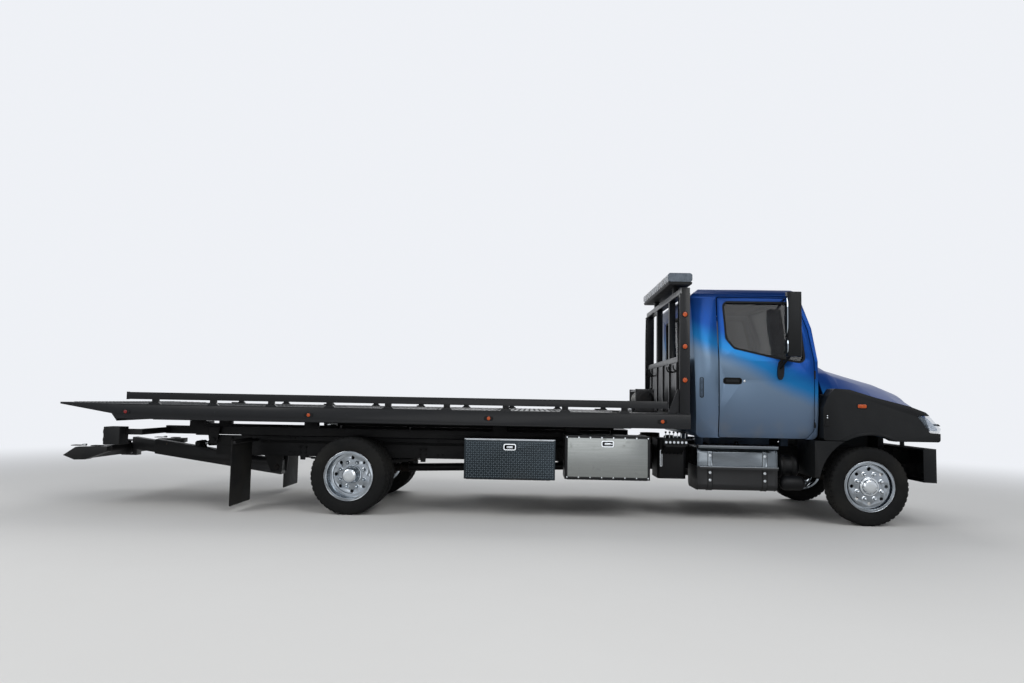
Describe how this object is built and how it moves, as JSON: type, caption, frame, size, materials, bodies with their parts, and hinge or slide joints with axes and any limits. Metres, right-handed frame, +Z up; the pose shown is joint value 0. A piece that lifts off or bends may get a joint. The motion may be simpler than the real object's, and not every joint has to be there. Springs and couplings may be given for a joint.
{
  "type": "flatbed tow truck",
  "caption": "Conventional-cab rollback tow truck with a tilting, sliding flat bed, headboard, winch and a rear wheel lift",
  "frame": {"origin": "on the ground, in the middle of the outline", "axes": "+X forward, +Y to the driver's left, +Z up"},
  "size_m": [9.51, 2.69, 2.69],
  "materials": {
    "tyre": "black tyre rubber",
    "rim": "polished wheel",
    "frame_black": "black chassis paint",
    "axle": "dark cast iron",
    "engine": "dark grey engine casting",
    "cab_paint": "blue fading to silver below",
    "glass": "tinted glass",
    "seat": "dark grey seat cloth",
    "dash": "dark grey dashboard plastic",
    "black_plastic": "black moulded plastic",
    "rubber": "black rubber sheet",
    "polished": "polished aluminium",
    "tread_plate": "dark tread plate",
    "mirror_steel": "polished stainless steel",
    "bed_black": "black bed paint",
    "rod": "chromed rod",
    "exhaust": "dull exhaust steel",
    "lamp_clear": "clear lamp lens",
    "lamp_amber": "amber lens",
    "lamp_red": "red lens",
    "light_bar": "clear and grey light bar lenses",
    "wire_rope": "steel wire rope",
    "boom_black": "black boom paint"
  },
  "bodies": {
    "chassis": {"chassis_frame": "frame_black", "leaf_springs": "axle", "front_axle": "axle", "rear_axle": "axle", "driveshaft": "axle", "engine_block": "engine", "cab_shell": "cab_paint", "cab_glass": "glass", "seats": "seat", "dashboard": "dash", "splash_guards": "black_plastic", "bumper": "black_plastic", "step_tanks": "polished", "hydraulic_tank": "frame_black", "exhaust": "exhaust", "toolboxes_rear": "tread_plate", "toolboxes_front": "mirror_steel", "mud_flaps": "rubber"},
    "knuckle_left": {"steering_knuckle_left": "axle"},
    "knuckle_right": {"steering_knuckle_right": "axle"},
    "wheel_front_left": {"front_tyre_left": "tyre", "front_wheel_left": "rim"},
    "wheel_front_right": {"front_tyre_right": "tyre", "front_wheel_right": "rim"},
    "wheels_rear_left": {"rear_tyres_left": "tyre", "rear_wheels_left": "rim"},
    "wheels_rear_right": {"rear_tyres_right": "tyre", "rear_wheels_right": "rim"},
    "cab_door_left": {"door_left": "cab_paint", "door_glass_left": "glass", "mirror_left": "black_plastic"},
    "cab_door_right": {"door_right": "cab_paint", "door_glass_right": "glass", "mirror_right": "black_plastic"},
    "hood_body": {"hood": "cab_paint", "fenders": "black_plastic", "grille": "black_plastic", "headlamps": "lamp_clear"},
    "box_door_rear_left": {"toolbox_door_rear_left": "tread_plate"},
    "box_door_rear_right": {"toolbox_door_rear_right": "tread_plate"},
    "box_door_front_left": {"toolbox_door_front_left": "mirror_steel"},
    "box_door_front_right": {"toolbox_door_front_right": "mirror_steel"},
    "subframe": {"tilt_frame": "frame_black", "tail_lamps": "lamp_red", "slide_cylinder_barrel": "frame_black"},
    "tilt_barrels": {"tilt_cylinder_barrels": "frame_black"},
    "tilt_rods": {"tilt_cylinder_rods": "rod"},
    "bed": {"bed_deck": "bed_black", "bed_side_rails": "bed_black", "headboard": "bed_black", "light_bar": "light_bar", "winch_frame": "bed_black", "marker_lamps": "lamp_amber", "slide_cylinder_rod": "rod"},
    "drum": {"winch_drum": "wire_rope"},
    "boom": {"lift_boom": "boom_black"},
    "inner_boom": {"lift_boom_inner": "boom_black"},
    "cross_bar": {"lift_crossbar": "boom_black"},
    "lift_barrel": {"lift_cylinder_barrel": "frame_black"},
    "lift_rod": {"lift_cylinder_rod": "rod"}
  },
  "joints": [
    {"name": "steer_left", "type": "hinge", "parent": "chassis", "child": "knuckle_left", "pos_m": [3.967, 0.85, 0.412], "axis": [0, 0, 1], "range_deg": [-33, 33]},
    {"name": "spin_front_left", "type": "hinge", "parent": "knuckle_left", "child": "wheel_front_left", "pos_m": [3.967, 1.04, 0.412], "axis": [0, 1, 0], "continuous": true},
    {"name": "spin_rear_left", "type": "hinge", "parent": "chassis", "child": "wheels_rear_left", "pos_m": [-1.545, 0.9175, 0.412], "axis": [0, 1, 0], "continuous": true},
    {"name": "cab_door_left_swing", "type": "hinge", "parent": "chassis", "child": "cab_door_left", "pos_m": [3.426, 1.115, 1.3], "axis": [0, 0.05, -0.9987], "range_deg": [0, 68]},
    {"name": "steer_right", "type": "hinge", "parent": "chassis", "child": "knuckle_right", "pos_m": [3.967, -0.85, 0.412], "axis": [0, 0, 1], "range_deg": [-33, 33]},
    {"name": "spin_front_right", "type": "hinge", "parent": "knuckle_right", "child": "wheel_front_right", "pos_m": [3.967, -1.04, 0.412], "axis": [0, 1, 0], "continuous": true},
    {"name": "spin_rear_right", "type": "hinge", "parent": "chassis", "child": "wheels_rear_right", "pos_m": [-1.545, -0.9175, 0.412], "axis": [0, 1, 0], "continuous": true},
    {"name": "cab_door_right_swing", "type": "hinge", "parent": "chassis", "child": "cab_door_right", "pos_m": [3.426, -1.115, 1.3], "axis": [0, 0.05, 0.9987], "range_deg": [0, 68]},
    {"name": "hood_tilt", "type": "hinge", "parent": "chassis", "child": "hood_body", "pos_m": [4.637, 0, 0.88], "axis": [0, 1, 0], "range_deg": [0, 52]},
    {"name": "toolbox_rear_left_open", "type": "hinge", "parent": "chassis", "child": "box_door_rear_left", "pos_m": [0.1755, 1.204, 0.416], "axis": [-1, 0, 0], "range_deg": [0, 88]},
    {"name": "toolbox_rear_right_open", "type": "hinge", "parent": "chassis", "child": "box_door_rear_right", "pos_m": [0.1755, -1.204, 0.416], "axis": [1, 0, 0], "range_deg": [0, 88]},
    {"name": "toolbox_front_left_open", "type": "hinge", "parent": "chassis", "child": "box_door_front_left", "pos_m": [1.211, 1.204, 0.434], "axis": [-1, 0, 0], "range_deg": [0, 88]},
    {"name": "toolbox_front_right_open", "type": "hinge", "parent": "chassis", "child": "box_door_front_right", "pos_m": [1.211, -1.204, 0.434], "axis": [1, 0, 0], "range_deg": [0, 88]},
    {"name": "bed_tilt", "type": "hinge", "parent": "chassis", "child": "subframe", "pos_m": [-3.285, 0, 0.735], "axis": [0, -1, 0], "range_deg": [0, 14]},
    {"name": "tilt_cylinder_swing", "type": "hinge", "parent": "chassis", "child": "tilt_barrels", "pos_m": [0.355, 0, 0.6], "axis": [0, 1, 0], "range_deg": [0, 22.5]},
    {"name": "tilt_cylinder_stroke", "type": "slide", "parent": "tilt_barrels", "child": "tilt_rods", "axis": [-0.9803, 0, 0.1977], "range_m": [0, 0.294]},
    {"name": "bed_slide", "type": "slide", "parent": "subframe", "child": "bed", "axis": [-1, 0, 0], "range_m": [0, 3]},
    {"name": "winch_spin", "type": "hinge", "parent": "bed", "child": "drum", "pos_m": [1.725, 0, 1.29], "axis": [0, 1, 0], "continuous": true},
    {"name": "lift_raise", "type": "hinge", "parent": "subframe", "child": "boom", "pos_m": [-2.665, 0, 0.395], "axis": [0, 1, 0], "range_deg": [-6, 2]},
    {"name": "lift_extend", "type": "slide", "parent": "boom", "child": "inner_boom", "axis": [-0.9901, 0, 0.1401], "range_m": [0, 0.6]},
    {"name": "crossbar_swivel", "type": "hinge", "parent": "inner_boom", "child": "cross_bar", "pos_m": [-4.545, 0, 0.59], "axis": [0, 0, 1], "range_deg": [-10, 10]},
    {"name": "lift_cylinder_swing", "type": "hinge", "parent": "subframe", "child": "lift_barrel", "pos_m": [-2.825, 0, 0.7], "axis": [0, 1, 0], "range_deg": [-7.5, 2.9]},
    {"name": "lift_cylinder_stroke", "type": "slide", "parent": "lift_barrel", "child": "lift_rod", "axis": [-0.9988, 0, -0.0487], "range_m": [-0.02, 0.04]}
  ],
  "couplings": [
    {"joint": "steer_right", "follows": "steer_left", "ratio": 1},
    {"joint": "tilt_cylinder_swing", "follows": "bed_tilt", "ratio": 1.587},
    {"joint": "tilt_cylinder_stroke", "follows": "bed_tilt", "m_per_rad": 1.1911},
    {"joint": "lift_cylinder_swing", "follows": "lift_raise", "ratio": 1.1502},
    {"joint": "lift_cylinder_stroke", "follows": "lift_raise", "m_per_rad": -0.3205}
  ]
}
